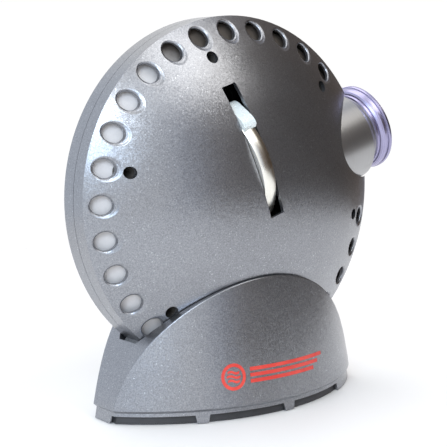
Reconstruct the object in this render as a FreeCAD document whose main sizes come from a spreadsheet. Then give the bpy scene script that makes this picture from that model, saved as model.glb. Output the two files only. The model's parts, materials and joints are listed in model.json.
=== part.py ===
import FreeCAD, Part
import Sketcher
import math
import os

# Liquid-wheel effect projector.
# A lens-shaped silver head stands on edge in a boat-shaped silver base.  The
# head holds a low-voltage reflector lamp, a condenser, a slowly turning wheel
# filled with coloured liquids and a sliding objective that looks out through
# the rim.  Everything is in millimetres.
#
# World frame: origin on the table under the middle of the head, +Z up, the
# front of the projector faces -Y, the objective points to +X and upwards.
# Head frame: origin at the middle of the head, x along the optical axis, y
# through the thickness of the head (front is -y), z square to both.

V = FreeCAD.Vector
doc = FreeCAD.newDocument("EffectProjector")
sheet = doc.addObject("Spreadsheet::Sheet", "Dimensions")


# ---------------------------------------------------------------- dimensions
class Q:
    """A number together with the sheet formula that gives it."""

    def __init__(self, v, s):
        self.v = float(v)
        self.s = s

    def _q(o):
        return o if isinstance(o, Q) else Q(o, repr(float(o)))

    def __add__(self, o):
        o = Q._q(o)
        return Q(self.v + o.v, "(%s + %s)" % (self.s, o.s))

    def __radd__(self, o):
        return Q._q(o) + self

    def __sub__(self, o):
        o = Q._q(o)
        return Q(self.v - o.v, "(%s - %s)" % (self.s, o.s))

    def __rsub__(self, o):
        return Q._q(o) - self

    def __mul__(self, o):
        o = Q._q(o)
        return Q(self.v * o.v, "(%s * %s)" % (self.s, o.s))

    def __rmul__(self, o):
        return Q._q(o) * self

    def __truediv__(self, o):
        o = Q._q(o)
        return Q(self.v / o.v, "(%s / %s)" % (self.s, o.s))

    def __neg__(self):
        return Q(-self.v, "(0 - %s)" % self.s)


def q(o):
    return o if isinstance(o, Q) else Q(o, repr(float(o)))


def root(o):
    return Q(math.sqrt(o.v), "sqrt(%s)" % o.s)


def cosd(o):
    o = q(o)
    return Q(math.cos(math.radians(o.v)), "cos(%s)" % o.s)


def sind(o):
    o = q(o)
    return Q(math.sin(math.radians(o.v)), "sin(%s)" % o.s)


class Dims:
    pass


D = Dims()
row = [0]


def dim(alias, value, note):
    row[0] += 1
    sheet.set("A%d" % row[0], note)
    sheet.set("B%d" % row[0], repr(float(value)))
    sheet.setAlias("B%d" % row[0], alias)
    setattr(D, alias, Q(value, "Dimensions." + alias))


dim("CentreHeight", 154.5, "height of the middle of the head above the table")
dim("BarrelAngle", 17.6, "angle of the optical axis above level, degrees")
dim("DiscRadius", 130.0, "outer radius of the head")
dim("RimHalf", 12.5, "half the width of the flat rim band")
dim("DomeRadius", 214.5, "outer radius of each domed face")
dim("WallThick", 3.0, "wall of the two shells and of the base housing")
dim("SeamHalf", 0.2, "half the gap between the two shells")
dim("VentCircle", 118.8, "radius of the ring of ventilation holes")
dim("VentBore", 6.5, "radius of a ventilation hole")
dim("VentLip", 7.8, "radius of the bevel round a ventilation hole")
dim("VentPitch", 12.0, "angle between neighbouring ventilation holes")
dim("VentCount", 26, "ventilation holes in each shell")
dim("WellCircle", 104.5, "radius of the ring of screw wells")
dim("WellBore", 4.25, "radius of a screw well")
dim("BossRadius", 7.0, "radius of the posts round the screw wells")
dim("WellFloor", 9.0, "depth of the screw seat from the parting plane")
dim("SlotHalf", 6.2, "half width of the wheel slot")
dim("SlotLow", -13.6, "lower end of the wheel slot")
dim("SlotHigh", 84.0, "upper end of the wheel slot")
dim("NeckHole", 37.0, "radius of the opening for the lens neck")
dim("NeckRadius", 36.0, "outer radius of the lens neck")
dim("WaistRadius", 29.3, "radius of the neck where the end ring begins")
dim("RingStart", 131.9, "distance of the end ring from the middle of the head")
dim("RingEnd", 144.5, "distance of the front of the end ring")
dim("RingRadius", 34.5, "outer radius of the end ring lip")
dim("TubeRadius", 27.0, "outer radius of the sliding lens tube")
dim("SlideGap", 0.05, "radial clearance of the sliding lens tube")
dim("WheelRadius", 50.7, "outer radius of the liquid wheel, a four inch wheel")
dim("WheelUp", 22.1, "height of the wheel axle above the optical axis")
dim("WheelFore", 9.6, "distance of the wheel axle in front of the optical axis")
dim("WheelMid", -1.1, "middle of the wheel along the optical axis")
dim("WheelHalf", 4.1, "half the thickness of the wheel rim")
dim("CapRadius", 55.0, "outer radius of the filler cap on the wheel rim")
dim("AxleRadius", 1.5, "radius of the wheel axle")
dim("ArchRadius", 113.85, "radius of the arch outline of the base")
dim("ArchDrop", 16.2, "depth of the centre of the arch below the table")
dim("PanelRadius", 148.5, "plan radius of the bowed base panels at the foot")
dim("PanelSet", 83.8, "distance of the panel axis from the middle plane")
dim("PanelDraft", 0.139, "inward lean of the panels for each unit of height")
dim("PlinthBottom", 0.5, "underside of the plinth above the table")
dim("HousingBottom", 8.5, "underside of the base housing above the table")
dim("PlinthInset", 2.4, "how far the plinth stands back from the housing")
dim("VentHigh", 5.6, "height of the notches in the plinth")
dim("PocketRadius", 134.0, "radius of the pocket in the base for the head")
dim("PocketGap", 1.0, "side clearance between head and pocket")
dim("PadGap", 0.05, "running clearance between the head rim and its pads")
dim("PlateZ", 6.5, "underside of the base floor")
dim("FloorLevel", -36.0, "upper face of the chassis floor in the head frame")


# ------------------------------------------------------------------- helpers
def bind(obj, prop, value):
    value = q(value)
    obj.setExpression(prop, value.s)


def place_head(obj):
    """Put a head-frame piece into the world."""
    obj.Placement = FreeCAD.Placement(
        V(0, 0, D.CentreHeight.v),
        FreeCAD.Rotation(V(0, -1, 0), D.BarrelAngle.v))
    obj.setExpression("Placement.Base.z", D.CentreHeight.s)
    obj.setExpression("Placement.Rotation.Angle", D.BarrelAngle.s)


NODES = []


def node(obj, label, head=False):
    obj.Label = label
    if head:
        place_head(obj)
    NODES.append(obj)
    return obj


def body(name):
    b = doc.addObject("PartDesign::Body", name)
    return b


def plane_of(b, role):
    for f in b.Origin.OriginFeatures:
        if f.Role == role:
            return f
    raise RuntimeError(role)


def new_sketch(b, role, offset=None):
    s = b.newObject("Sketcher::SketchObject", b.Name + "_outline")
    s.AttachmentSupport = [(plane_of(b, role), "")]
    s.MapMode = "FlatFace"
    if offset is not None:
        offset = q(offset)
        s.AttachmentOffset = FreeCAD.Placement(V(0, 0, offset.v),
                                               FreeCAD.Rotation())
        s.setExpression("AttachmentOffset.Base.z", offset.s)
    return s


def pin_point(s, geo, pos, x, y):
    """Tie one sketch point to the sheet."""
    if abs(x.v) < 1e-9:
        s.addConstraint(Sketcher.Constraint("PointOnObject", geo, pos, -2))
    else:
        i = s.addConstraint(Sketcher.Constraint("DistanceX", -1, 1, geo, pos,
                                                x.v))
        s.setExpression("Constraints[%d]" % i, x.s)
    if abs(y.v) < 1e-9:
        s.addConstraint(Sketcher.Constraint("PointOnObject", geo, pos, -1))
    else:
        i = s.addConstraint(Sketcher.Constraint("DistanceY", -1, 1, geo, pos,
                                                y.v))
        s.setExpression("Constraints[%d]" % i, y.s)


def draw_loop(s, pts):
    """Closed outline.  A point is (x, y) or (x, y, radius, turn): the second
    form reaches the point along an arc of that radius, turn +1 running
    anticlockwise and -1 clockwise."""
    pts = [tuple(q(c) if k < 2 or (k == 2 and c is not None) else c
                 for k, c in enumerate(p)) for p in pts]
    n = len(pts)
    geos = []
    for k in range(n):
        a, b_ = pts[k - 1], pts[k]
        p0 = V(a[0].v, a[1].v, 0)
        p1 = V(b_[0].v, b_[1].v, 0)
        if len(b_) > 2:
            r, turn = b_[2].v, b_[3]
            mid = (p0 + p1) * 0.5
            chord = p1 - p0
            half = chord.Length / 2
            hgt = math.sqrt(max(r * r - half * half, 0.0))
            left = V(-chord.y, chord.x, 0)
            left.normalize()
            c = mid + left * (hgt * turn)
            circ = Part.Circle(c, V(0, 0, 1), r)
            a0 = math.atan2(p0.y - c.y, p0.x - c.x)
            a1 = math.atan2(p1.y - c.y, p1.x - c.x)
            if turn > 0:
                g = s.addGeometry(Part.ArcOfCircle(circ, a0, a1 if a1 > a0 else a1 + 2 * math.pi), False)
                geos.append((g, 1, 2, b_[2]))
            else:
                g = s.addGeometry(Part.ArcOfCircle(circ, a1, a0 if a0 > a1 else a0 + 2 * math.pi), False)
                geos.append((g, 2, 1, b_[2]))
        else:
            g = s.addGeometry(Part.LineSegment(p0, p1), False)
            geos.append((g, 1, 2, None))
    for k in range(n):
        g, st, en, r = geos[k]
        g2, st2, en2, r2 = geos[(k + 1) % n]
        s.addConstraint(Sketcher.Constraint("Coincident", g, en, g2, st2))
        pin_point(s, g, en, pts[k][0], pts[k][1])
        if r is not None:
            i = s.addConstraint(Sketcher.Constraint("Radius", g, r.v))
            s.setExpression("Constraints[%d]" % i, r.s)


def draw_circle(s, x, y, r):
    x, y, r = q(x), q(y), q(r)
    g = s.addGeometry(Part.Circle(V(x.v, y.v, 0), V(0, 0, 1), r.v), False)
    pin_point(s, g, 3, x, y)
    i = s.addConstraint(Sketcher.Constraint("Radius", g, r.v))
    s.setExpression("Constraints[%d]" % i, r.s)


def revolve(name, role, axis, loops, angle=360):
    """Body turned about a sketch axis."""
    b = body(name)
    s = new_sketch(b, role)
    for lp in loops:
        draw_loop(s, lp)
    f = b.newObject("PartDesign::Revolution", name + "_turned")
    f.Profile = s
    f.ReferenceAxis = (s, [axis])
    f.Angle = angle
    b.Tip = f
    return b


def turned_about_x(name, pts, up=None, fore=None):
    """Body turned about a line parallel to x.  Points are (x, radius)."""
    b = body(name)
    s = new_sketch(b, "XZ_Plane" if up is None else "XY_Plane")
    draw_loop(s, pts)
    f = b.newObject("PartDesign::Revolution", name + "_turned")
    f.Profile = s
    f.ReferenceAxis = (s, ["H_Axis"])
    f.Angle = 360
    b.Tip = f
    return b


def pad(b, role, shapes, length, offset=None, rev=False, mid=False):
    s = new_sketch(b, role, offset)
    for sh in shapes:
        if sh[0] == "circle":
            draw_circle(s, sh[1], sh[2], sh[3])
        else:
            draw_loop(s, sh[1])
    f = b.newObject("PartDesign::Pad", b.Name + "_pad")
    f.Profile = s
    f.Length = q(length).v
    bind(f, "Length", length)
    f.Reversed = rev
    f.Midplane = mid
    b.Tip = f
    return f


def pocket(b, role, shapes, length, offset=None, rev=False, mid=False):
    s = new_sketch(b, role, offset)
    for sh in shapes:
        if sh[0] == "circle":
            draw_circle(s, sh[1], sh[2], sh[3])
        else:
            draw_loop(s, sh[1])
    doc.recompute()
    before = b.Shape.Volume
    f = b.newObject("PartDesign::Pocket", b.Name + "_pocket")
    f.Profile = s
    f.Length = q(length).v
    bind(f, "Length", length)
    f.Reversed = rev
    f.Midplane = mid
    b.Tip = f
    doc.recompute()
    if not b.Shape.Volume < before - 1e-3:
        raise RuntimeError("pocket cuts nothing: " + b.Name)
    return f


def groove(b, role, axis, pts):
    s = new_sketch(b, role)
    draw_loop(s, pts)
    doc.recompute()
    before = b.Shape.Volume
    f = b.newObject("PartDesign::Groove", b.Name + "_groove")
    f.Profile = s
    f.ReferenceAxis = (s, [axis])
    f.Angle = 360
    b.Tip = f
    doc.recompute()
    if not b.Shape.Volume < before - 1e-3:
        raise RuntimeError("groove cuts nothing: " + b.Name)
    return f


def polar(b, feat, axis_role, count, total):
    p = b.newObject("PartDesign::PolarPattern", b.Name + "_ring")
    p.Originals = [feat]
    ax = [f for f in b.Origin.OriginFeatures if f.Role == axis_role][0]
    p.Axis = (ax, [""])
    p.Angle = q(total).v
    bind(p, "Angle", total)
    p.Occurrences = int(q(count).v)
    bind(p, "Occurrences", count)
    b.Tip = p
    return p


def rect(x0, x1, y0, y1):
    return ("loop", [(x0, y0), (x1, y0), (x1, y1), (x0, y1)])


def cyl(name, r, h, base, axis):
    """Part cylinder from base along axis."""
    c = doc.addObject("Part::Cylinder", name)
    r, h = q(r), q(h)
    c.Radius, c.Height = r.v, h.v
    bind(c, "Radius", r)
    bind(c, "Height", h)
    c.Placement = FreeCAD.Placement(base, FreeCAD.Rotation(V(0, 0, 1), axis))
    return c


def cone(name, r1, r2, h, base, axis=None):
    c = doc.addObject("Part::Cone", name)
    r1, r2, h = q(r1), q(r2), q(h)
    c.Radius1, c.Radius2, c.Height = r1.v, r2.v, h.v
    bind(c, "Radius1", r1)
    bind(c, "Radius2", r2)
    bind(c, "Height", h)
    c.Placement = FreeCAD.Placement(
        base, FreeCAD.Rotation(V(0, 0, 1), axis or V(0, 0, 1)))
    return c


def box(name, x0, x1, y0, y1, z0, z1):
    o = doc.addObject("Part::Box", name)
    for prop, a, b_ in (("Length", x0, x1), ("Width", y0, y1),
                        ("Height", z0, z1)):
        d = q(b_) - q(a)
        setattr(o, prop, d.v)
        bind(o, prop, d)
    o.Placement = FreeCAD.Placement(V(q(x0).v, q(y0).v, q(z0).v),
                                    FreeCAD.Rotation())
    for ax, val in (("x", x0), ("y", y0), ("z", z0)):
        o.setExpression("Placement.Base." + ax, q(val).s)
    return o


def cut(name, a, b_):
    o = doc.addObject("Part::Cut", name)
    o.Base, o.Tool = a, b_
    return o


def fuse(name, parts):
    o = doc.addObject("Part::MultiFuse", name)
    o.Shapes = parts
    return o


def common(name, parts):
    o = doc.addObject("Part::MultiCommon", name)
    o.Shapes = parts
    return o


def compound(name, parts):
    o = doc.addObject("Part::Compound", name)
    o.Links = parts
    return o


def screw(name, at, axis, shank_r, shank_l, head_r, head_h, hexa):
    """Socket-head screw, seat of the head at `at`, shank running along
    `axis`, head on the other side."""
    axis = V(axis)
    axis.normalize()
    sh = cyl(name + "_shank", shank_r, shank_l, at, axis)
    hd = cyl(name + "_head", head_r, head_h, at - axis * head_h, axis)
    both = fuse(name + "_blank", [sh, hd])
    hx = doc.addObject("Part::Prism", name + "_socket")
    hx.Polygon = 6
    hx.Circumradius = hexa
    hx.Height = head_h * 0.6
    hx.Placement = FreeCAD.Placement(at - axis * head_h,
                                     FreeCAD.Rotation(V(0, 0, 1), axis))
    return cut(name + "_cut", both, hx)


def polar_xz(r, deg):
    return (r * cosd(deg), r * sind(deg))


# ===================================================================== HEAD
# ---- the two shells: revolved about y, with posts, wells and vents
def dome_y(radius, r):
    """Depth of a sphere of that radius, centred like the dome, at radius r."""
    centre = D.DomeRadius - (D.RimHalf + D.DomeRadius
                             - root(D.DomeRadius * D.DomeRadius
                                    - D.DiscRadius * D.DiscRadius))
    return root(radius * radius - r * r) - centre


def shell(name, sgn):
    """sgn -1 is the front shell, +1 the rear shell.  Sketch on the XY plane,
    x is the radius and y the depth."""
    inner = D.DomeRadius - D.WallThick
    ri = D.DiscRadius - D.WallThick
    t = -sgn      # arc direction seen in the sketch

    def Y(v):
        return v * sgn

    zero = q(0)
    pts = [
        (zero, Y(dome_y(inner, zero))),
        (zero, Y(dome_y(D.DomeRadius, zero))),
        (D.DiscRadius, Y(D.RimHalf), D.DomeRadius, t),
        (D.DiscRadius, Y(D.SeamHalf)),
        (ri, Y(D.SeamHalf)),
        (ri, Y(dome_y(inner, ri))),
        (zero, Y(dome_y(inner, zero)), inner, -t),
    ]
    pts = pts[1:]
    b = body(name)
    s = new_sketch(b, "XY_Plane")
    draw_loop(s, pts)
    f = b.newObject("PartDesign::Revolution", name + "_dome")
    f.Profile = s
    f.ReferenceAxis = (s, ["V_Axis"])
    f.Angle = 360
    b.Tip = f
    # posts for the six case screws, grown through the dome and trimmed flush
    x, z = polar_xz(D.WellCircle, 30)
    p = pad(b, "XZ_Plane", [("circle", x, z, D.BossRadius)], 48,
            rev=(sgn > 0))
    polar(b, p, "Y_Axis", 6, 360)
    if sgn > 0:
        # three more posts carry the optical chassis
        for px in (-62, -5, 48):
            pad(b, "XZ_Plane", [("circle", px, -49, 4.5)], 28,
                offset=q(-30), rev=True)
        # locating lip inside the rim
        lip = [(D.DiscRadius - D.WallThick - 0.1, -3.5),
               (D.DiscRadius - D.WallThick - 0.1, 6.0),
               (D.DiscRadius - D.WallThick + 0.5, 7.0),
               (D.DiscRadius - D.WallThick + 0.5, 9.0),
               (D.DiscRadius - D.WallThick - 2.4, 6.5),
               (D.DiscRadius - D.WallThick - 2.4, -3.5)]
        s = new_sketch(b, "XY_Plane")
        draw_loop(s, lip)
        f = b.newObject("PartDesign::Revolution", name + "_lip")
        f.Profile = s
        f.ReferenceAxis = (s, ["V_Axis"])
        f.Angle = 360
        b.Tip = f
    # trim everything outside the dome
    groove(b, "XY_Plane", "V_Axis", [
        (zero, Y(q(95))),
        (D.DiscRadius + 10, Y(q(95))),
        (D.DiscRadius + 10, Y(D.RimHalf)),
        (D.DiscRadius, Y(D.RimHalf)),
        (zero, Y(dome_y(D.DomeRadius, zero)), D.DomeRadius, -t),
    ])
    away = (sgn < 0)
    # screw wells and screw holes
    if sgn < 0:
        w = pocket(b, "XZ_Plane", [("circle", x, z, D.WellBore)], 60,
                   offset=D.WellFloor, rev=True)
        polar(b, w, "Y_Axis", 6, 360)
        w = pocket(b, "XZ_Plane", [("circle", x, z, 2.2)], 20, rev=True)
        polar(b, w, "Y_Axis", 6, 360)
    else:
        w = pocket(b, "XZ_Plane", [("circle", x, z, 1.95)], 14)
        polar(b, w, "Y_Axis", 6, 360)
        w = pocket(b, "XZ_Plane", [("circle", -62, -49, 1.3),
                                   ("circle", -5, -49, 1.3),
                                   ("circle", 48, -49, 1.3)], 38)
    # opening for the lens neck, through dome and rim
    pocket(b, "YZ_Plane", [("circle", 0, 0, D.NeckHole)], 100, offset=45,
           rev=True)
    # ring of ventilation holes, left out where the neck comes through
    vx, vz = polar_xz(D.VentCircle, -30)
    v = pocket(b, "XZ_Plane", [("circle", vx, vz, D.VentBore)], 60,
               rev=away)
    polar(b, v, "Y_Axis", D.VentCount, D.VentPitch * (D.VentCount - 1))
    if sgn < 0:
        # slot through which the rim of the liquid wheel shows
        pocket(b, "XZ_Plane", [rect(-D.SlotHalf, D.SlotHalf, D.SlotLow,
                                    D.SlotHigh)], 70, offset=20, rev=True)
    doc.recompute()
    # bevel round every ventilation hole on the outside
    edges = []
    for i, e in enumerate(b.Tip.Shape.Edges):
        c = e.CenterOfMass
        rr = math.hypot(c.x, c.z)
        if abs(rr - D.VentCircle.v) < 1.2 and 38 < e.Length < 60:
            if abs(c.y) > abs(dome_y(D.DomeRadius - 1.2, D.VentCircle).v):
                edges.append("Edge%d" % (i + 1))
    if len(edges) != int(D.VentCount.v):
        raise RuntimeError("vent edges %d" % len(edges))
    last = b.Tip
    f = b.newObject("PartDesign::Fillet", name + "_bevels")
    f.Base = (last, edges)
    r = D.VentLip - D.VentBore
    f.Radius = r.v
    bind(f, "Radius", r)
    b.Tip = f
    return b


front = node(shell("front_shell", -1), "front_shell", True)
rear = node(shell("rear_shell", +1), "rear_shell", True)



def baffle(name, sgn):
    """Thin dished ring behind the vents that stops stray lamp light.  It
    clips between the six posts and leaves the neck free."""
    ro, ru = D.DomeRadius - 6.5, D.DomeRadius - 7.5
    a, c = q(107.5), q(124.2)
    b = body(name)
    s = new_sketch(b, "XY_Plane")
    draw_loop(s, [(a, dome_y(ro, a) * sgn), (c, dome_y(ro, c) * sgn, ro, -sgn),
                  (c, dome_y(ru, c) * sgn), (a, dome_y(ru, a) * sgn, ru, sgn)])
    f = b.newObject("PartDesign::Revolution", name + "_ring")
    f.Profile = s
    f.ReferenceAxis = (s, ["V_Axis"])
    f.Angle = 360
    b.Tip = f
    x, z = polar_xz(D.WellCircle, 30)
    w = pocket(b, "XZ_Plane", [("circle", x, z, D.BossRadius + 0.05)], 60,
               rev=(sgn < 0))
    polar(b, w, "Y_Axis", 6, 360)
    pocket(b, "YZ_Plane", [("circle", 0, 0, 40)], 80, offset=140)
    return b


node(baffle("front_vent_baffle", -1), "front_vent_baffle", True)
node(baffle("rear_vent_baffle", +1), "rear_vent_baffle", True)

# ---- six case screws, heads at the bottom of the wells
scr = []
for k in range(6):
    x, z = polar_xz(D.WellCircle, 30 + 60 * k)
    scr.append(screw("case_screw_%d" % k, V(x.v, -D.WellFloor.v, z.v),
                     V(0, 1, 0), 1.95, 20.0, 3.6, 3.5, 1.6))
node(compound("case_screws", scr), "case_screws", True)

# ---- lens neck: tube with a concave waist, flange inside, bore for the tube
bore = D.TubeRadius + D.SlideGap
b = turned_about_x("lens_neck", [
    (58, 30), (58, 42), (61, 42), (61, D.NeckRadius),
    (122.5, D.NeckRadius),
    (D.RingStart - 0.2, D.WaistRadius + 0.03, 9.9, 1),
    (D.RingStart - 0.2, bore), (98, bore), (98, 29.6), (119, 29.6),
    (119, 33.4), (63, 33.4), (63, 30)])
NECK_SCREWS = [(39.2 * math.cos(math.radians(a)),
                39.2 * math.sin(math.radians(a)))
               for a in (45, 135, 225, 315)]
pocket(b, "YZ_Plane", [("circle", yy, zz, 1.45) for yy, zz in NECK_SCREWS],
       4, offset=61.5)
node(b, "lens_neck", True)
scr = [screw("neck_screw_%d" % k, V(61, yy, zz), V(-1, 0, 0), 1.4, 6.4,
             2.4, 1.6, 1.0) for k, (yy, zz) in enumerate(NECK_SCREWS)]
node(compound("neck_screws", scr), "neck_screws", True)

# ---- sliding lens barrel: tube, violet end ring, two lenses, two rings
b = turned_about_x("lens_tube", [
    (66, 24.6), (66, D.TubeRadius), (134.9, D.TubeRadius), (134.9, 24.6)])
node(b, "lens_tube", True)
b = turned_about_x("lens_end_ring", [
    (D.RingStart, D.TubeRadius + 0.02), (D.RingStart, D.WaistRadius),
    (132.6, 30.3), (133.6, 30.5), (134.2, 30.0), (134.7, 30.1),
    (135.2, 31.3), (136.4, 32.4), (138.2, 33.3), (139.9, 33.6),
    (140.4, 33.0), (140.9, 33.1), (141.4, 34.1), (142.4, D.RingRadius),
    (143.9, D.RingRadius), (D.RingEnd, 33.9), (D.RingEnd, 32.6),
    (142.5, 29.2), (136.9, 29.2), (136.9, 26.2), (134.9, 26.2),
    (134.9, D.TubeRadius + 0.02)])
node(b, "lens_end_ring", True)
b = turned_about_x("objective_front_lens", [
    (136.9, 0), (136.9, 28.9), (138.9, 28.9), (141.9, 0, 141.0, -1)])
node(b, "objective_front_lens", True)
b = turned_about_x("front_lens_ring", [
    (139.25, 27.4), (138.9, 28.95), (138.9, 29.15), (140.6, 29.15),
    (140.6, 27.4)])
node(b, "front_lens_ring", True)
b = turned_about_x("objective_rear_lens", [
    (75.0, 0), (75.0, 24.3), (80.0, 24.3), (83.0, 0, 100.5, -1)])
node(b, "objective_rear_lens", True)
b = turned_about_x("rear_lens_ring", [
    (72.4, 22.6), (72.4, 24.55), (75.0, 24.55), (75.0, 22.6)])
node(b, "rear_lens_ring", True)
b = turned_about_x("lens_spacer", [
    (80.4, 22.8), (80.0, 24.35), (80.0, 24.55), (134.0, 24.55),
    (134.0, 22.8)])
node(b, "lens_spacer", True)

# ---- chassis: folded sheet floor with a rear flange on the shell posts
b = body("optical_chassis")
pad(b, "XY_Plane", [rect(-74, 57.9, -30, 30)], 2.0,
    offset=D.FloorLevel - 2.0)
pad(b, "XZ_Plane", [rect(-68, 55, -55, D.FloorLevel)], 2.0, offset=q(-30))
pocket(b, "XZ_Plane", [("circle", -62, -49, 1.7), ("circle", -5, -49, 1.7),
                       ("circle", 48, -49, 1.7)], 10, offset=q(-35), rev=True)
pocket(b, "XY_Plane", [("circle", -66 + 11 * k, 22, 3.0) for k in range(5)]
       + [("circle", -66 + 11 * k, -22, 3.0) for k in range(5)], 8,
       offset=D.FloorLevel + 3)
node(b, "optical_chassis", True)
scr = [screw("chassis_screw_%d" % k, V(px, 28.0, -49), V(0, 1, 0), 1.3, 9.0,
             2.8, 2.0, 1.1) for k, px in enumerate((-62, -5, 48))]
node(compound("chassis_screws", scr), "chassis_screws", True)

# ---- lens bulkhead that carries the neck flange
b = body("lens_bulkhead")
pad(b, "YZ_Plane", [rect(-37, 37, D.FloorLevel, 42), ("circle", 0, 0, 29.8)],
    2.0, offset=56)
pad(b, "XY_Plane", [rect(40, 56, -26, 26)], 2.0, offset=D.FloorLevel)
pocket(b, "YZ_Plane", [("circle", yy, zz, 1.45) for yy, zz in NECK_SCREWS],
       4, offset=59)
node(b, "lens_bulkhead", True)

# ---- lamp: reflector, quartz capsule, holder, clip and leads
b = turned_about_x("lamp_reflector", [
    (-50.0, 23.6), (-50.0, 25.3), (-52.5, 25.3), (-52.5, 24.7),
    (-53.2, 24.4),
    (-58.0, 22.6), (-65.0, 18.9), (-72.0, 13.6), (-77.0, 8.6), (-79.0, 8.0),
    (-87.0, 8.0), (-87.0, 4.8), (-76.6, 4.8), (-75.4, 7.4), (-70.8, 12.4),
    (-64.2, 17.4), (-57.4, 21.0), (-52.4, 23.0)])
node(b, "lamp_reflector", True)
b = turned_about_x("lamp_capsule", [
    (-86.0, 0), (-86.0, 4.2), (-76.0, 4.2), (-74.8, 5.4), (-66.0, 5.4),
    (-61.5, 3.0), (-60.2, 1.0), (-59.8, 0)])
node(b, "lamp_capsule", True)
b = body("lampholder")
pad(b, "YZ_Plane", [rect(-10.5, 10.5, -7.5, 7.5)], 10, offset=q(-97.2))
pocket(b, "YZ_Plane", [("circle", -2.65, 0, 0.9), ("circle", 2.65, 0, 0.9)],
       9, offset=q(-87.0))
node(b, "lampholder", True)
pins = [cyl("lamp_pin_%d" % k, 0.8, 8.4, V(-94.4, yy, 0), V(1, 0, 0))
        for k, yy in enumerate((-2.65, 2.65))]
node(compound("lamp_pins", pins), "lamp_pins", True)
b = body("lamp_bracket")
pad(b, "YZ_Plane", [rect(-30, 30, D.FloorLevel, 30),
                    ("circle", 0, 0, 24.9)], 1.5, offset=q(-54.0))
pad(b, "XY_Plane", [rect(-70, -54, -24, 24)], 1.5, offset=D.FloorLevel)
node(b, "lamp_bracket", True)
clips = []
for k, (y0, z0) in enumerate(((0, 27.2), (-24.6, -14.2), (24.6, -14.2))):
    clips.append(box("clip_pad_%d" % k, -52.5, -47.6, y0 - 2, y0 + 2,
                     z0 - 1.6, z0 + 1.6))
node(compound("lamp_clips", clips), "lamp_clips", True)


# ---- condenser block: aluminium ring on a foot, heat glass, lens, ring
b = turned_about_x("condenser_mount", [
    (-46.5, 24.1), (-46.5, 28.0), (-20.0, 28.0), (-20.0, 20.6),
    (-24.0, 20.6), (-24.0, 23.1), (-42.5, 23.1), (-42.5, 24.1)])
pad(b, "XY_Plane", [rect(-45.0, -21.5, -16, 16)], 12.0, offset=D.FloorLevel)
node(b, "condenser_mount", True)
b = turned_about_x("heat_glass", [
    (-45.5, 0), (-45.5, 24.0), (-42.5, 24.0), (-42.5, 0)])
node(b, "heat_glass", True)
b = turned_about_x("condenser_lens", [
    (-38.0, 0), (-38.0, 23.0), (-35.0, 23.0), (-24.2, 0, 29.9, -1)])
node(b, "condenser_lens", True)
b = turned_about_x("condenser_spacer", [
    (-42.4, 21.6), (-42.4, 23.05), (-38.0, 23.05), (-38.0, 21.6)])
node(b, "condenser_spacer", True)

# ---- gate plate close behind the wheel
b = body("gate_plate")
pad(b, "YZ_Plane", [rect(-30, 30, D.FloorLevel, 30), ("circle", 0, 0, 16),
                    ("circle", -D.WheelFore, D.WheelUp, 4.0)],
    1.2, offset=q(-10.6))
pad(b, "XY_Plane", [rect(-19.0, -10.6, -22, 22)], 1.2, offset=D.FloorLevel)
node(b, "gate_plate", True)

# ---- wheel motor with offset gearbox on its own bracket
wy, wz = -D.WheelFore, D.WheelUp
b = body("motor_bracket")
pad(b, "YZ_Plane", [("loop", [(-27, D.FloorLevel), (-16.5, D.FloorLevel),
                              (-16.5, 15), (10, 15), (10, 52), (-27, 52)]),
                    ("circle", wy, wz, 5.2), ("circle", wy - 6, 40, 1.25),
                    ("circle", wy + 6, 40, 1.25)], 1.5, offset=6.9)
pad(b, "XY_Plane", [rect(8.4, 20, -27, -16.5)], 1.5, offset=D.FloorLevel)
node(b, "motor_bracket", True)
b = body("motor_gearbox")
pad(b, "YZ_Plane", [("loop", [(wy - 7, wz), (wy + 7, wz, 7.4, 1),
                              (wy + 9, 43), (wy - 9, 43)]),
                    ("circle", wy - 6, 40, 1.25),
                    ("circle", wy + 6, 40, 1.25)], 6.0, offset=8.4)
pad(b, "YZ_Plane", [("circle", wy, wz, 5.0)], 1.5, offset=6.9)
pocket(b, "YZ_Plane", [("circle", wy, wz, D.AxleRadius + 0.04)], 6.0,
       offset=12.9)
node(b, "motor_gearbox", True)
b = body("wheel_motor")
pad(b, "YZ_Plane", [("circle", wy, 37, 17)], 17.0, offset=14.4)
pad(b, "YZ_Plane", [("circle", wy, 37, 13)], 2.0, offset=31.4)
node(b, "wheel_motor", True)
motor_scr = [screw("motor_screw_%d" % k, V(6.9, yy, zz), V(1, 0, 0), 1.2, 7.2,
                   2.3, 1.4, 0.9)
             for k, (yy, zz) in enumerate(((wy.v - 6.0, 40.0),
                                           (wy.v + 6.0, 40.0)))]
node(compound("motor_screws", motor_scr), "motor_screws", True)

# ---- lamp leads and their terminal block on the chassis floor
b = body("lamp_terminal_block")
pad(b, "XY_Plane", [rect(-72, -56, 14, 22)], 9.0, offset=D.FloorLevel + 1.5)
pocket(b, "XY_Plane", [("circle", -68, 18, 1.7), ("circle", -60, 18, 1.7)],
       6.0, offset=D.FloorLevel + 12)
node(b, "lamp_terminal_block", True)


def lead(name, pts, r):
    """Round lead swept along a smooth run through the given points."""
    crv = Part.BSplineCurve()
    crv.interpolate([V(*p) for p in pts])
    wire = Part.Wire([crv.toShape()])
    t = crv.tangent(crv.FirstParameter)[0]
    circ = Part.Wire([Part.Circle(V(*pts[0]), t, r).toShape()])
    return wire.makePipeShell([circ], True, True)


leads = [lead("a", [(-97.9, -4, 0), (-101, -4, -6), (-99, 2, -20),
                    (-88, 12, -29), (-72.2, 16, -30)], 1.1),
         lead("b", [(-97.9, 4, 0), (-101.5, 5, -5), (-100, 9, -17),
                    (-88, 17, -26), (-72.2, 20, -28)], 1.1)]
o = doc.addObject("Part::Feature", "lamp_leads")
o.Shape = Part.makeCompound(leads)
node(o, "lamp_leads", True)


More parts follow.
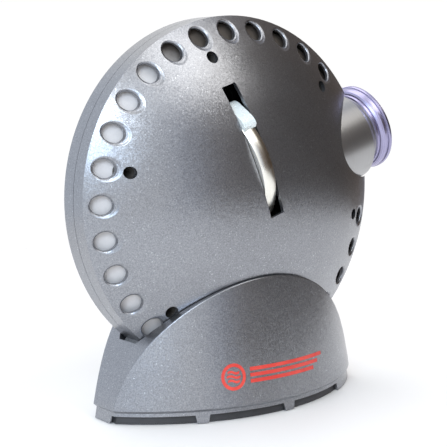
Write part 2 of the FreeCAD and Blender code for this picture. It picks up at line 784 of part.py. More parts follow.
# ============================================================ LIQUID WHEEL
def wheel_turned(name, pts):
    """Body turned about the wheel axle; points are (x from the middle of the
    wheel, radius).  Built about the optical axis and moved onto the axle."""
    b = turned_about_x(name, [(D.WheelMid + p[0],) + tuple(p[1:])
                              for p in pts])
    return b


def place_wheel(obj):
    a = D.BarrelAngle
    base = V(0, 0, 0)
    rot = FreeCAD.Rotation(V(0, -1, 0), a.v)
    off = rot.multVec(V(0, -D.WheelFore.v, D.WheelUp.v))
    obj.Placement = FreeCAD.Placement(off + V(0, 0, D.CentreHeight.v), rot)
    obj.setExpression("Placement.Base.x", (-(D.WheelUp * sind(a))).s)
    obj.setExpression("Placement.Base.y", (-D.WheelFore).s)
    obj.setExpression("Placement.Base.z",
                      (D.CentreHeight + D.WheelUp * cosd(a)).s)
    obj.setExpression("Placement.Rotation.Angle", a.s)


def wheel_node(obj, label):
    obj.Label = label
    place_wheel(obj)
    NODES.append(obj)
    return obj


H = D.WheelHalf
b = wheel_turned("wheel_rim", [
    (-4.7, D.WheelRadius - 1.3), (5.6, D.WheelRadius - 1.3, 10.85, -1),
    (5.6, 45.4), (H - 0.9, 45.4), (H - 0.9, 46.5), (-H + 0.9, 46.5),
    (-H + 0.9, 45.4), (-4.7, 45.4)])
wheel_node(b, "wheel_rim")
b = wheel_turned("wheel_front_glass", [
    (H - 2.6, 7.0), (H - 2.6, 46.5), (H - 0.9, 46.5), (H - 0.9, 7.0)])
wheel_node(b, "wheel_front_glass")
b = wheel_turned("wheel_rear_glass", [
    (-H + 0.9, 7.0), (-H + 0.9, 46.5), (-H + 2.6, 46.5), (-H + 2.6, 7.0)])
wheel_node(b, "wheel_rear_glass")
blob_spots = [(28, 20, 7.5), (34, 62, 5.0), (19, 95, 6.0), (36, 118, 7.0),
              (25, 150, 5.5), (37, 172, 4.5), (30, 205, 8.0), (15, 235, 4.0),
              (37, 246, 6.0), (26, 280, 6.5), (38, 300, 4.2), (33, 335, 6.2)]
liquid = cyl("liquid_full", 46.5, H * 2 - 5.2,
             V(D.WheelMid.v - H.v + 2.6, 0, 0), V(1, 0, 0))
core = cyl("liquid_core", 7.0, H * 2 - 5.2,
           V(D.WheelMid.v - H.v + 2.6, 0, 0), V(1, 0, 0))
spots = [cyl("spot_%d" % k, r, H * 2 - 5.2,
             V(D.WheelMid.v - H.v + 2.6, rr * math.cos(math.radians(a)),
               rr * math.sin(math.radians(a))), V(1, 0, 0))
         for k, (rr, a, r) in enumerate(blob_spots)]
tools = fuse("liquid_tools", [core] + spots)
wheel_node(cut("wheel_liquid", liquid, tools), "wheel_liquid")
spots = [cyl("drop_%d" % k, r, H * 2 - 5.2,
             V(D.WheelMid.v - H.v + 2.6, rr * math.cos(math.radians(a)),
               rr * math.sin(math.radians(a))), V(1, 0, 0))
         for k, (rr, a, r) in enumerate(blob_spots)]
wheel_node(compound("wheel_oil_drops", spots), "wheel_oil_drops")
b = wheel_turned("wheel_hub", [
    (-H - 0.9, D.AxleRadius), (-H - 0.9, 9.5), (-H + 0.9, 9.5),
    (-H + 0.9, 7.0), (H - 0.9, 7.0), (H - 0.9, D.AxleRadius)])
wheel_node(b, "wheel_hub")
b = wheel_turned("wheel_hub_washer", [
    (H - 0.9, D.AxleRadius), (H - 0.9, 9.5), (H + 0.5, 9.5),
    (H + 0.5, D.AxleRadius)])
wheel_node(b, "wheel_hub_washer")
b = wheel_turned("wheel_nut", [
    (-H - 3.6, D.AxleRadius), (-H - 3.6, 4.6), (-H - 3.1, 5.2),
    (-H - 0.9, 5.2), (-H - 0.9, D.AxleRadius)])
wheel_node(b, "wheel_nut")
b = wheel_turned("wheel_axle", [
    (-H - 4.4, 0), (-H - 4.4, D.AxleRadius), (13.6, D.AxleRadius),
    (13.6, 0)])
wheel_node(b, "wheel_axle")
# filler cap: a clear moulded saddle over the rim; the profile is drawn square
# to the axle with its middle at the angle it shows in the slot
b = body("wheel_filler_cap")
CAP = 50.5
R0 = D.WheelRadius + 0.02
half = 15.0


def ray(r, a):
    return (r * cosd(a), r * sind(a))


# sketch on YZ: first coordinate is y (front is negative), second is z
mid = 180 - CAP
p0 = ray(R0, mid + half)
p1 = ray(R0, mid - half)
q1 = ray(D.CapRadius - 1.4, mid - half + 1.0)
q2 = ray(D.CapRadius, mid - 5.0)
q3 = ray(D.CapRadius, mid + 5.0)
q4 = ray(D.CapRadius - 1.4, mid + half - 1.0)
pad(b, "YZ_Plane", [("loop", [p0, (p1[0], p1[1], R0, -1), q1,
                              (q2[0], q2[1], 9.0, 1),
                              (q3[0], q3[1], D.CapRadius, 1),
                              (q4[0], q4[1], 9.0, 1)])], 10.6,
    offset=q(-5.5))
wheel_node(b, "wheel_filler_cap")

# ===================================================================== BASE
zb = D.HousingBottom


def panel_cone(name, side, inset, z0, z1):
    """One of the two leaning cones whose overlap is the boat-shaped plan."""
    r0 = D.PanelRadius - inset - D.PanelDraft * (q(z0) - D.PlinthBottom)
    r1 = D.PanelRadius - inset - D.PanelDraft * (q(z1) - D.PlinthBottom)
    c = cone(name, r0, r1, q(z1) - q(z0),
             V(0, side * D.PanelSet.v, q(z0).v))
    c.setExpression("Placement.Base.y", (D.PanelSet * side).s)
    c.setExpression("Placement.Base.z", q(z0).s)
    return c


def boat(name, inset, z0, z1):
    arch = cyl(name + "_arch", D.ArchRadius - inset, 180,
               V(0, 90, -D.ArchDrop.v), V(0, -1, 0))
    arch.setExpression("Placement.Base.z", (-D.ArchDrop).s)
    return common(name, [panel_cone(name + "_front", 1, inset, z0, z1),
                         panel_cone(name + "_rear", -1, inset, z0, z1),
                         arch])


def pocket_form(name, grow):
    """Lens-shaped hollow that receives the head, in the world."""
    R = D.PocketRadius + grow
    S = D.DomeRadius + D.PocketGap + grow
    W = dome_y(S, R)
    zero = q(0)
    b = body(name)
    s = new_sketch(b, "XY_Plane")
    draw_loop(s, [(zero, -dome_y(S, zero)), (R, -W, S, 1), (R, W),
                  (zero, dome_y(S, zero), S, 1)])
    f = b.newObject("PartDesign::Revolution", name + "_turned")
    f.Profile = s
    f.ReferenceAxis = (s, ["V_Axis"])
    f.Angle = 360
    b.Tip = f
    b.Placement = FreeCAD.Placement(V(0, 0, D.CentreHeight.v),
                                    FreeCAD.Rotation())
    b.setExpression("Placement.Base.z", D.CentreHeight.s)
    return b


FOOT = 2.2


def flare_cone(name, side):
    """Cone opening at 45 degrees that bevels the foot of one panel."""
    r0 = (D.PanelRadius - D.PanelDraft * (D.HousingBottom - D.PlinthBottom)
          - FOOT)
    c = cone(name, r0, r0 + 120, 120,
             V(0, side * D.PanelSet.v, D.HousingBottom.v))
    c.setExpression("Placement.Base.y", (D.PanelSet * side).s)
    c.setExpression("Placement.Base.z", D.HousingBottom.s)
    return c


ends = doc.addObject("Part::Wedge", "flare_ends")
hx = root(D.ArchRadius * D.ArchRadius - (D.HousingBottom + D.ArchDrop)
          * (D.HousingBottom + D.ArchDrop)) - FOOT
for prop, val in (("Xmin", -hx), ("Xmax", hx), ("X2min", -(hx + 120)),
                  ("X2max", hx + 120), ("Ymin", q(0)), ("Ymax", q(120)),
                  ("Zmin", q(-90)), ("Zmax", q(90)), ("Z2min", q(-90)),
                  ("Z2max", q(90))):
    setattr(ends, prop, val.v)
    bind(ends, prop, val)
ends.Placement = FreeCAD.Placement(V(0, 0, D.HousingBottom.v),
                                   FreeCAD.Rotation(V(1, 0, 0), 90))
ends.setExpression("Placement.Base.z", D.HousingBottom.s)
outer0 = boat("housing_outer", q(0), D.HousingBottom, 125)
outer = common("housing_bevelled", [outer0, flare_cone("flare_front", 1),
                                    flare_cone("flare_rear", -1), ends])
doc.recompute()
# soften the crease between end bands and panels
creases = []
for i, e in enumerate(outer.Shape.Edges):
    if e.BoundBox.ZMax > 60 and e.Length > 100:
        creases.append((i + 1, 0.9, 0.9))
bev = doc.addObject("Part::Fillet", "housing_soft")
bev.Base = outer
bev.Edges = creases
doc.recompute()
if (bev.Shape.isNull() or not bev.Shape.isValid()
        or bev.Shape.Volume > outer.Shape.Volume):
    raise RuntimeError("housing creases %d" % len(creases))

hollow = boat("housing_hollow", D.WallThick, 17.0, 120)
mouth = boat("housing_mouth", q(8.0), 5.0, 18.0)
hollow2 = fuse("housing_space", [hollow, mouth])
keep = pocket_form("pocket_wall", D.WallThick)
posts = []
for k, (px, py) in enumerate(((62, 9), (62, -9), (-62, 9), (-62, -9))):
    posts.append(cyl("base_post_%d" % k, 4.2, 26.0, V(px, py, zb.v),
                     V(0, 0, 1)))
keep2 = fuse("housing_kept", [keep] + posts)
space = cut("housing_void", hollow2, keep2)
pk = pocket_form("head_pocket", q(0))
pilots = [cyl("base_pilot_%d" % k, 1.35, 14.0, V(px, py, zb.v - 1),
              V(0, 0, 1))
          for k, (px, py) in enumerate(((62, 9), (62, -9), (-62, 9),
                                        (-62, -9)))]
inlet = cyl("inlet_bore", 4.5, 30.0, V(0, 45, 26.0), V(0, 1, 0))
seat = cyl("inlet_seat", 6.95, 10.0, V(0, 59.9, 26.0), V(0, 1, 0))
tools = fuse("housing_tools", [space, pk, inlet, seat] + pilots)
housing = cut("housing_body", bev, tools)

# ---- notched skirt under the housing, and the black tray inside it
skirt = boat("skirt_outer", D.PlinthInset, D.PlinthBottom, D.HousingBottom)
inside = boat("skirt_inner", D.PlinthInset + 2.5, -4, 7 + D.HousingBottom)
slab = boat("tray_slab", D.PlinthInset + 2.8, D.PlinthBottom, D.HousingBottom)
under = boat("tray_under", D.PlinthInset + 4.8, -4, D.PlateZ)
notch = []
for side in (-1, 1):
    for k, deg in enumerate((-37.9, -10.4, 17.1)):
        ang = math.radians(-side * deg)
        R = D.PanelRadius.v
        cx = R * math.sin(ang)
        cy = side * (R * math.cos(ang) - D.PanelSet.v)
        n = doc.addObject("Part::Wedge", "notch_%d_%d" % (side, k))
        n.Xmin, n.Xmax, n.X2min, n.X2max = -31.0, 31.0, -29.4, 29.4
        n.Ymin, n.Ymax = 0, D.VentHigh.v + 1.0
        n.Zmin, n.Zmax, n.Z2min, n.Z2max = -12, 12, -12, 12
        n.setExpression("Ymax", (D.VentHigh + 1.0).s)
        rot = FreeCAD.Rotation(V(0, 0, 1), math.degrees(ang) * -side)
        rot = rot.multiply(FreeCAD.Rotation(V(1, 0, 0), 90))
        n.Placement = FreeCAD.Placement(
            V(cx, cy, D.PlinthBottom.v - 1.0), rot)
        notch.append(n)
vents = []
for k in range(9):
    for j in (-1, 1):
        vents.append(box("tray_vent_%d_%d" % (k, j), -46 + 11 * k - 2.2,
                         -46 + 11 * k + 2.2, j * 33 - 9, j * 33 + 9, 4, 14))
holes = [cyl("tray_hole_%d" % k, 1.8, 20.0, V(px, py, 0), V(0, 0, 1))
         for k, (px, py) in enumerate(((62, 9), (62, -9), (-62, 9),
                                       (-62, -9)))]
ring = cut("skirt", skirt, fuse("skirt_tools", [inside] + notch))
node(fuse("base_housing", [housing, ring]), "base_housing")
tray = cut("base_tray", slab, fuse("tray_tools", [under] + vents + holes))
node(tray, "base_tray")
scr = [screw("tray_screw_%d" % k, V(px, py, D.PlateZ.v), V(0, 0, 1), 1.35,
             12.0, 3.0, 2.2, 1.3)
       for k, (px, py) in enumerate(((62, 9), (62, -9), (-62, 9),
                                     (-62, -9)))]
node(compound("base_tray_screws", scr), "base_tray_screws")
feet = []
for k, (px, py) in enumerate(((82, 16), (82, -16), (-82, 16), (-82, -16),
                              (0, 50), (0, -50), (0, 0))):
    a = cone("foot_%d" % k, 5.2, 6.4, 6.5, V(px, py, 0))
    feet.append(a)
node(compound("rubber_feet", feet), "rubber_feet")

# ---- pads that carry the head in its pocket
pad_list = []
for k, mid_a in enumerate((-126, -104, -76, -54)):
    pb = body("cradle_pad_%d" % k)
    s = new_sketch(pb, "XZ_Plane", q(-10.4))
    ri = D.DiscRadius + D.PadGap
    ro = D.PocketRadius
    a0, a1 = mid_a - 4.0, mid_a + 4.0
    draw_loop(s, [(ri * cosd(a0), D.CentreHeight + ri * sind(a0)),
                  (ro * cosd(a0), D.CentreHeight + ro * sind(a0)),
                  (ro * cosd(a1), D.CentreHeight + ro * sind(a1), ro, 1),
                  (ri * cosd(a1), D.CentreHeight + ri * sind(a1)),
                  (ri * cosd(a0), D.CentreHeight + ri * sind(a0), ri, -1)
                  ][1:])
    f = pb.newObject("PartDesign::Pad", pb.Name + "_pad")
    f.Profile = s
    f.Length = 20.8
    pb.Tip = f
    pad_list.append(pb)
node(compound("head_cradle_pads", pad_list), "head_cradle_pads")

# ---- electronic transformer, terminal block and cord gland in the base
b = body("transformer_case")
pad(b, "XY_Plane", [rect(-38, 38, -50, -27)], 21.5, offset=8.5)
pocket(b, "XY_Plane", [rect(-36.4, 36.4, -48.4, -28.6)], 17.4, offset=30.0)
pocket(b, "YZ_Plane", [("circle", -38, 20, 2.0)], 120, offset=60)
node(b, "transformer_case")
b = body("transformer_lid")
pad(b, "XY_Plane", [rect(-38, 38, -50, -27)], 1.6, offset=30.0)
node(b, "transformer_lid")
b = body("transformer_board")
pad(b, "XY_Plane", [rect(-35, 35, -48, -29)], 1.6, offset=14.0)
pad(b, "XY_Plane", [rect(-22, -6, -46, -31)], 11.0, offset=15.6)
pad(b, "XY_Plane", [("circle", 16, -38.5, 7.0)], 9.0, offset=15.6)
pad(b, "XY_Plane", [("circle", 4, -42, 3.2)], 10.5, offset=15.6)
pad(b, "XY_Plane", [rect(-32, 32, -39.5, -37.5)], 1.4, offset=12.6)
node(b, "transformer_board")
b = body("base_terminal_block")
pad(b, "XY_Plane", [rect(-34, -12, 32, 42)], 13.5, offset=8.5)
pocket(b, "XY_Plane", [("circle", -30, 37, 1.8), ("circle", -23, 37, 1.8),
                       ("circle", -16, 37, 1.8)], 7.0, offset=22.0)
node(b, "base_terminal_block")
doc.recompute()


# the rear panel leans, so the gland seats in a round spot face
b = body("cord_gland")
pad(b, "XZ_Plane", [("circle", 0, 26.0, 4.45)], 13.0, offset=q(-64.0))
pad(b, "XZ_Plane", [("circle", 0, 26.0, 6.8)], 2.5, offset=q(-62.4))
pad(b, "XZ_Plane", [("circle", 0, 26.0, 6.2)], 3.0, offset=q(-57.2))
pocket(b, "XZ_Plane", [("circle", 0, 26.0, 3.1)], 40.0, offset=q(-40.0))
node(b, "cord_gland")

# =================================================================== output
doc.recompute()
bad = []
for o in doc.Objects:
    if "Invalid" in o.State or "Error" in o.State:
        bad.append(o.Name + " " + str(o.State))
for o in NODES:
    if o.Shape.isNull() or not o.Shape.isValid():
        bad.append("shape " + o.Label)
if bad:
    raise RuntimeError("; ".join(bad))
os.makedirs("parts", exist_ok=True)
for o in NODES:
    o.Shape.exportStep("parts/%s.step" % o.Label)
    bb = o.Shape.BoundBox
    print("%-24s solids %d  vol %.0f  x %.1f..%.1f y %.1f..%.1f z %.1f..%.1f"
          % (o.Label, len(o.Shape.Solids), o.Shape.Volume, bb.XMin, bb.XMax,
             bb.YMin, bb.YMax, bb.ZMin, bb.ZMax))
print("nodes", len(NODES))
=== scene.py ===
import json
import math
import random

import bmesh
import bpy
from mathutils import Matrix, Vector


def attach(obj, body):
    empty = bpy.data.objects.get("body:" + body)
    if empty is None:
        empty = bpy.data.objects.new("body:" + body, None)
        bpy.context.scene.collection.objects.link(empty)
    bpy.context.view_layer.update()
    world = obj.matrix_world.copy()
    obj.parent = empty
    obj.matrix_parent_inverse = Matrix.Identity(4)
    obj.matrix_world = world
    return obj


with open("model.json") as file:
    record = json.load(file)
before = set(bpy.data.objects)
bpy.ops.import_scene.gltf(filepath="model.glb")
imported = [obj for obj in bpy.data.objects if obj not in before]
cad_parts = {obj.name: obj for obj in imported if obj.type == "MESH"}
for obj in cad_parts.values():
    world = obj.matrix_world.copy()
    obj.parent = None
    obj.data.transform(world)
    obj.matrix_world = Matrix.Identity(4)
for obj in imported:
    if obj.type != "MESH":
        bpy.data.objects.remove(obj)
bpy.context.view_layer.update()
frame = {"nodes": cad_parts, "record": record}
NODES = frame["nodes"]
random.seed(7)

TILT = math.radians(17.6)
AXIS = Vector((math.cos(TILT), 0.0, math.sin(TILT)))
UP = Vector((-math.sin(TILT), 0.0, math.cos(TILT)))
HUB = Vector((0.0, 0.0, 0.1545))
WHEEL = HUB + UP * 0.0221 + Vector((0, -0.0096, 0))


# ------------------------------------------------------------------ camera
cam_data = bpy.data.cameras.new("camera")
cam = bpy.data.objects.new("camera", cam_data)
bpy.context.scene.collection.objects.link(cam)
cx = Vector((0.79923306, -0.60080503, -0.01611944))
cy = Vector((0.0715865, 0.06853174, 0.99507727))
cz = Vector((-0.59674273, -0.79645259, 0.09778236))
m = Matrix((cx, cy, cz)).transposed().to_4x4()
m.translation = Vector((-0.54372, -0.72493, 0.24359))
cam.matrix_world = m
cam_data.sensor_width = 36.0
cam_data.lens = 1221.48 / 447 * 36
cam_data.shift_x = -0.0034
cam_data.shift_y = -0.0703
cam_data.clip_start = 0.01
cam_data.clip_end = 60.0
cam_data.dof.use_dof = False
bpy.context.scene.camera = cam


# ------------------------------------------------------------------- light
def area(name, loc, target, size, power, colour, size_y=None):
    d = bpy.data.lights.new(name, "AREA")
    d.shape = "RECTANGLE"
    d.size = size
    d.size_y = size_y or size
    d.energy = power
    d.color = colour
    o = bpy.data.objects.new(name, d)
    o.location = loc
    back = (Vector(loc) - Vector(target)).normalized()
    o.rotation_mode = "QUATERNION"
    o.rotation_quaternion = (-back).to_track_quat("-Z", "Y")
    bpy.context.scene.collection.objects.link(o)
    return o


area("key_left", (-1.25, -1.15, 0.95), (0, 0, 0.16), 0.95, 13.5,
     (0.62, 0.80, 1.0))
area("front_high", (0.30, -1.0, 1.45), (0, 0, 0.16), 0.9, 7.5,
     (1.0, 0.98, 0.93))
area("edge_left", (-1.1, -1.35, 1.35), (0, 0, 0.16), 0.5, 4.0,
     (1.0, 0.97, 0.90))
area("top_soft", (-0.1, 0.5, 1.9), (0, 0, 0.1), 1.4, 9.0, (1.0, 0.985, 0.96))
area("right_back", (1.3, 1.1, 0.55), (0, 0, 0.15), 0.5, 3.5, (1.0, 0.96, 0.98))

bpy.context.scene.view_settings.view_transform = "Standard"
world = bpy.data.worlds.new("studio")
bpy.context.scene.world = world
world.use_nodes = True
wt = world.node_tree
wt.nodes.clear()
w_out = wt.nodes.new("ShaderNodeOutputWorld")
w_bg = wt.nodes.new("ShaderNodeBackground")
w_co = wt.nodes.new("ShaderNodeTexCoord")
w_dot = wt.nodes.new("ShaderNodeVectorMath")
w_dot.operation = "DOT_PRODUCT"
w_dot.inputs[1].default_value = Vector((0.87, -0.48, 0.08)).normalized()
w_ramp = wt.nodes.new("ShaderNodeValToRGB")
el = w_ramp.color_ramp.elements
el[0].position, el[0].color = 0.26, (0.87, 0.93, 1.02, 1)
el[1].position, el[1].color = 0.95, (0.042, 0.024, 0.013, 1)
e = el.new(0.40)
e.color = (1.0, 1.0, 1.0, 1)
e = el.new(0.67)
e.color = (1.0, 1.0, 1.0, 1)
e = el.new(0.705)
e.color = (0.60, 0.66, 0.80, 1)
e = el.new(0.755)
e.color = (0.34, 0.36, 0.43, 1)
e = el.new(0.835)
e.color = (0.146, 0.100, 0.068, 1)
wt.links.new(w_co.outputs["Generated"], w_dot.inputs[0])
w_half = wt.nodes.new("ShaderNodeMath")
w_half.operation = "MULTIPLY_ADD"
w_half.inputs[1].default_value = 0.5
w_half.inputs[2].default_value = 0.5
wt.links.new(w_dot.outputs["Value"], w_half.inputs[0])
wt.links.new(w_half.outputs[0], w_ramp.inputs[0])
wt.links.new(w_ramp.outputs[0], w_bg.inputs[0])
w_bg.inputs[1].default_value = 1.02
wt.links.new(w_bg.outputs[0], w_out.inputs[0])


# --------------------------------------------------------------- materials
class Mat:
    """Small builder for one node material. Constants go straight on the
    shader's own sockets; only what varies is linked."""

    def __init__(self, name, **consts):
        self.m = bpy.data.materials.new(name)
        self.m.use_nodes = True
        self.t = self.m.node_tree
        self.t.nodes.clear()
        self.out = self.t.nodes.new("ShaderNodeOutputMaterial")
        self.p = self.t.nodes.new("ShaderNodeBsdfPrincipled")
        self.t.links.new(self.p.outputs[0], self.out.inputs[0])
        for k, v in consts.items():
            self.p.inputs[k.replace("_", " ")].default_value = v
        co = self.t.nodes.new("ShaderNodeTexCoord")
        self.co = co.outputs["Object"]
        self.normal = None

    def link(self, a, b):
        self.t.links.new(a, b)

    def scaled(self, sx, sy=None, sz=None, rot=(0, 0, 0), off=(0, 0, 0)):
        n = self.t.nodes.new("ShaderNodeMapping")
        n.inputs["Scale"].default_value = (sx, sy or sx, sz or sx)
        n.inputs["Rotation"].default_value = rot
        n.inputs["Location"].default_value = off
        self.link(self.co, n.inputs["Vector"])
        return n.outputs[0]

    def around(self, centre, axis, ka, kr):
        """Vector (axial distance * ka, radius * kr, 0) about a turning axis."""
        sub = self.t.nodes.new("ShaderNodeVectorMath")
        sub.operation = "SUBTRACT"
        sub.inputs[1].default_value = centre
        self.link(self.co, sub.inputs[0])
        dot = self.t.nodes.new("ShaderNodeVectorMath")
        dot.operation = "DOT_PRODUCT"
        dot.inputs[1].default_value = axis
        self.link(sub.outputs[0], dot.inputs[0])
        crs = self.t.nodes.new("ShaderNodeVectorMath")
        crs.operation = "CROSS_PRODUCT"
        crs.inputs[1].default_value = axis
        self.link(sub.outputs[0], crs.inputs[0])
        ln = self.t.nodes.new("ShaderNodeVectorMath")
        ln.operation = "LENGTH"
        self.link(crs.outputs[0], ln.inputs[0])
        a = self.math("MULTIPLY", dot.outputs["Value"], ka)
        r = self.math("MULTIPLY", ln.outputs["Value"], kr)
        c = self.t.nodes.new("ShaderNodeCombineXYZ")
        self.link(a, c.inputs[0])
        self.link(r, c.inputs[1])
        return c.outputs[0]

    def noise(self, vec, scale=1.0, detail=3.0, rough=0.55, distort=0.0):
        n = self.t.nodes.new("ShaderNodeTexNoise")
        n.inputs["Scale"].default_value = scale
        n.inputs["Detail"].default_value = detail
        n.inputs["Roughness"].default_value = rough
        n.inputs["Distortion"].default_value = distort
        self.link(vec, n.inputs["Vector"])
        return n.outputs["Fac"]

    def voronoi(self, vec, scale=1.0, feature="F1", out="Color"):
        n = self.t.nodes.new("ShaderNodeTexVoronoi")
        n.feature = feature
        n.inputs["Scale"].default_value = scale
        self.link(vec, n.inputs["Vector"])
        return n.outputs[out]

    def wave(self, vec, scale, distort=0.0, kind="BANDS", direction="X"):
        n = self.t.nodes.new("ShaderNodeTexWave")
        n.wave_type = kind
        if kind == "BANDS":
            n.bands_direction = direction
        n.inputs["Scale"].default_value = scale
        n.inputs["Distortion"].default_value = distort
        n.inputs["Detail"].default_value = 2.0
        self.link(vec, n.inputs["Vector"])
        return n.outputs["Fac"]

    def math(self, op, a, b=None, clamp=False):
        n = self.t.nodes.new("ShaderNodeMath")
        n.operation = op
        n.use_clamp = clamp
        for i, v in enumerate((a, b)):
            if v is None:
                continue
            if isinstance(v, (int, float)):
                n.inputs[i].default_value = v
            else:
                self.link(v, n.inputs[i])
        return n.outputs[0]

    def ramp(self, fac, stops):
        n = self.t.nodes.new("ShaderNodeValToRGB")
        es = n.color_ramp.elements
        while len(es) > 1:
            es.remove(es[-1])
        for i, (pos, col) in enumerate(stops):
            e = es[0] if i == 0 else es.new(pos)
            e.position = pos
            if isinstance(col, (int, float)):
                col = (col, col, col)
            e.color = (*col, 1.0)
        self.link(fac, n.inputs[0])
        return n.outputs[0]

    def mix(self, fac, a, b, mode="MIX"):
        n = self.t.nodes.new("ShaderNodeMix")
        n.data_type = "RGBA"
        n.blend_type = mode
        for i, v in ((0, fac), (6, a), (7, b)):
            if isinstance(v, (int, float)):
                n.inputs[i].default_value = v
            elif isinstance(v, tuple):
                n.inputs[i].default_value = (*v, 1.0)
            else:
                self.link(v, n.inputs[i])
        return n.outputs[2]

    def set(self, socket, value):
        self.link(value, self.p.inputs[socket])

    def bump(self, height, strength=0.3, distance=0.0002):
        n = self.t.nodes.new("ShaderNodeBump")
        n.inputs["Strength"].default_value = strength
        n.inputs["Distance"].default_value = distance
        self.link(height, n.inputs["Height"])
        if self.normal is not None:
            self.link(self.normal, n.inputs["Normal"])
        self.normal = n.outputs[0]
        self.link(self.normal, self.p.inputs["Normal"])

    def flakes(self, scale, amount):
        """Each small cell tilts its normal a little, like metal flake."""
        col = self.voronoi(self.co, scale)
        sub = self.t.nodes.new("ShaderNodeVectorMath")
        sub.operation = "SUBTRACT"
        sub.inputs[1].default_value = (0.5, 0.5, 0.5)
        self.link(col, sub.inputs[0])
        sc = self.t.nodes.new("ShaderNodeVectorMath")
        sc.operation = "SCALE"
        sc.inputs["Scale"].default_value = amount
        self.link(sub.outputs[0], sc.inputs[0])
        add = self.t.nodes.new("ShaderNodeVectorMath")
        add.operation = "ADD"
        if self.normal is None:
            g = self.t.nodes.new("ShaderNodeNewGeometry")
            base = g.outputs["Normal"]
        else:
            base = self.normal
        self.link(base, add.inputs[0])
        self.link(sc.outputs[0], add.inputs[1])
        nz = self.t.nodes.new("ShaderNodeVectorMath")
        nz.operation = "NORMALIZE"
        self.link(add.outputs[0], nz.inputs[0])
        self.normal = nz.outputs[0]
        self.link(self.normal, self.p.inputs["Normal"])


def vent_dishes(a):
    """Height field that rounds the moulding off round each vent hole: holes
    sit every 12 degrees on a ring about the head, none near the neck."""
    sub = a.t.nodes.new("ShaderNodeVectorMath")
    sub.operation = "SUBTRACT"
    sub.inputs[1].default_value = (0.0008, 0.0, 0.1542)
    a.link(a.co, sub.inputs[0])
    sep = a.t.nodes.new("ShaderNodeSeparateXYZ")
    a.link(sub.outputs[0], sep.inputs[0])
    x, z = sep.outputs["X"], sep.outputs["Z"]
    th = a.math("ARCTAN2", z, x)
    turn = a.math("MULTIPLY", a.math("SUBTRACT", th, 0.20246), 4.774648)
    off = a.math("SUBTRACT", turn, a.math("ROUND", turn))
    t = a.math("MULTIPLY", off, 0.024882)
    r = a.math("SQRT", a.math("ADD", a.math("MULTIPLY", x, x),
                              a.math("MULTIPLY", z, z)))
    u = a.math("MULTIPLY", a.math("SUBTRACT", r, 0.1188), 0.96)
    d = a.math("SQRT", a.math("ADD", a.math("MULTIPLY", u, u),
                              a.math("MULTIPLY", t, t)))
    h = a.math("MULTIPLY", a.math("SUBTRACT", d, 0.0066), 430.0, True)
    h = a.math("MULTIPLY", a.math("MULTIPLY", h, h),
               a.math("SUBTRACT", 3.0, a.math("MULTIPLY", h, 2.0)))
    near = a.math("GREATER_THAN", a.math("COSINE", a.math(
        "SUBTRACT", th, 0.30718)), 0.90)
    return a.math("MAXIMUM", h, near)


def silver_paint(name="silver_paint", inner=None, rim=None):
    """Flake paint over black moulding.  inner = (centre, radius, axis) of
    the round surface inside which the moulding is left bare."""
    a = Mat(name, Coat_Weight=0.25, Coat_Roughness=0.20)
    cell = a.voronoi(a.co, 1500.0)
    big = a.noise(a.co, 12.0, 4.0)
    fine = a.noise(a.co, 1100.0, 2.0)
    base = a.ramp(big, [(0.3, (0.334, 0.343, 0.368)), (0.7, (0.386, 0.396, 0.422))])
    grain = a.ramp(fine, [(0.3, (0.66, 0.66, 0.67)), (0.72, (1.05, 1.05, 1.05))])
    col = a.mix(1.0, base, grain, "MULTIPLY")
    star = a.ramp(cell, [(0.88, 0.0), (0.96, 0.52)])
    col = a.mix(star, col, (0.80, 0.83, 0.88))
    smear = a.noise(a.scaled(9.0, 9.0, 26.0), 1.0, 5.0, 0.6)
    rough = a.ramp(smear, [(0.25, 0.28), (0.75, 0.34)])
    metal = a.ramp(fine, [(0.2, 0.86), (0.8, 0.95)])
    if inner:
        centre, radius, flat = inner
        sub = a.t.nodes.new("ShaderNodeVectorMath")
        sub.operation = "SUBTRACT"
        sub.inputs[1].default_value = centre
        a.link(a.co, sub.inputs[0])
        mul = a.t.nodes.new("ShaderNodeVectorMath")
        mul.operation = "MULTIPLY"
        mul.inputs[1].default_value = flat
        a.link(sub.outputs[0], mul.inputs[0])
        ln = a.t.nodes.new("ShaderNodeVectorMath")
        ln.operation = "LENGTH"
        a.link(mul.outputs[0], ln.inputs[0])
        d = a.math("SUBTRACT", radius, ln.outputs["Value"])
        d = a.math("MULTIPLY", d, 2500.0, True)
        if rim:
            flat2 = a.t.nodes.new("ShaderNodeVectorMath")
            flat2.operation = "MULTIPLY"
            flat2.inputs[1].default_value = (1, 0, 1)
            a.link(sub.outputs[0], flat2.inputs[0])
            l2 = a.t.nodes.new("ShaderNodeVectorMath")
            l2.operation = "LENGTH"
            a.link(flat2.outputs[0], l2.inputs[0])
            e = a.math("SUBTRACT", rim, l2.outputs["Value"])
            e = a.math("MULTIPLY", e, 2500.0, True)
            d = a.math("MULTIPLY", d, e)
        bare = a.ramp(a.noise(a.co, 600.0, 3.0),
                      [(0.3, (0.050, 0.045, 0.040)), (0.7, (0.078, 0.072, 0.065))])
        col = a.mix(d, col, bare)
        rough = a.mix(d, rough, (0.55, 0.55, 0.55))
        metal = a.mix(d, metal, (0.0, 0.0, 0.0))
    a.set("Base Color", col)
    a.set("Roughness", rough)
    a.set("Metallic", metal)
    peel = a.noise(a.co, 420.0, 2.0, 0.5)
    a.bump(peel, 0.025, 0.0002)
    if rim:
        a.bump(vent_dishes(a), 0.60, 0.0009)
    a.flakes(1500.0, 0.09)
    return a.m


